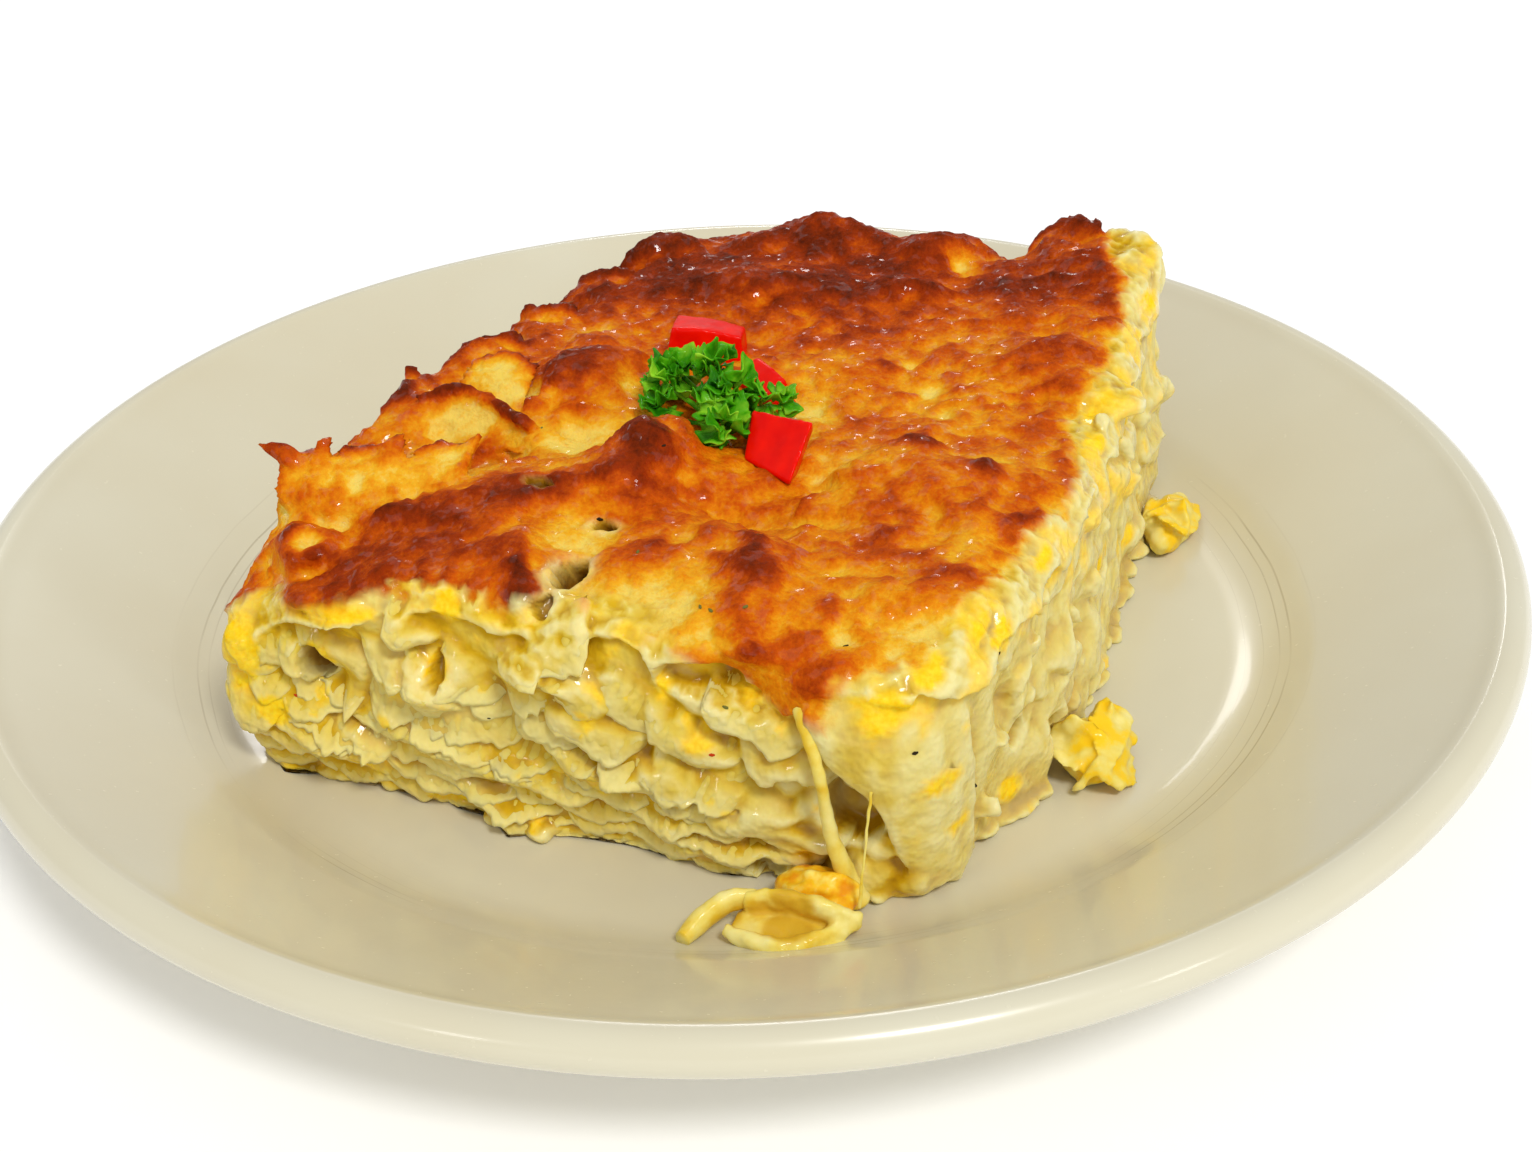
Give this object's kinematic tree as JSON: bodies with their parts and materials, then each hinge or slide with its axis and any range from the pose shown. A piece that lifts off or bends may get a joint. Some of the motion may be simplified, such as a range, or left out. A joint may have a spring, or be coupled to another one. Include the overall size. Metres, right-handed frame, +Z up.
{
  "type": "portion of baked macaroni on a plate",
  "caption": "Square cut of baked pasta shells in cheese sauce with a browned crust, on a round wide-rim plate, with parsley and red pepper.",
  "frame": {"origin": "centre of the plate's foot ring, on the surface it stands on", "axes": "+Z up along the plate's axis; -Y towards the near corner of the cut; +X to the right of it"},
  "size_m": [0.24, 0.24, 0.0556],
  "materials": {
    "glaze": "cream glazed ceramic",
    "bake": "browned cheese crust over pale pasta in cheese sauce, moist",
    "pasta": "cooked pasta with cheese sauce, moist",
    "cheddar": "melted yellow cheese, glossy",
    "red_flesh": "raw red pepper, moist",
    "parsley": "fresh curly leaf"
  },
  "bodies": {
    "root": {"plate": "glaze", "macaroni_bake": "bake", "red_dice_back": "red_flesh", "red_dice_front": "red_flesh", "red_dice_middle": "red_flesh", "parsley_sprig": "parsley", "cheese_in_front": "cheddar", "fallen_shell_open": "pasta", "fallen_shell_side": "pasta", "clump_right": "pasta", "clump_far_right": "pasta", "cheese_strand_thick": "pasta", "cheese_strand_thin": "pasta"}
  },
  "joints": []
}
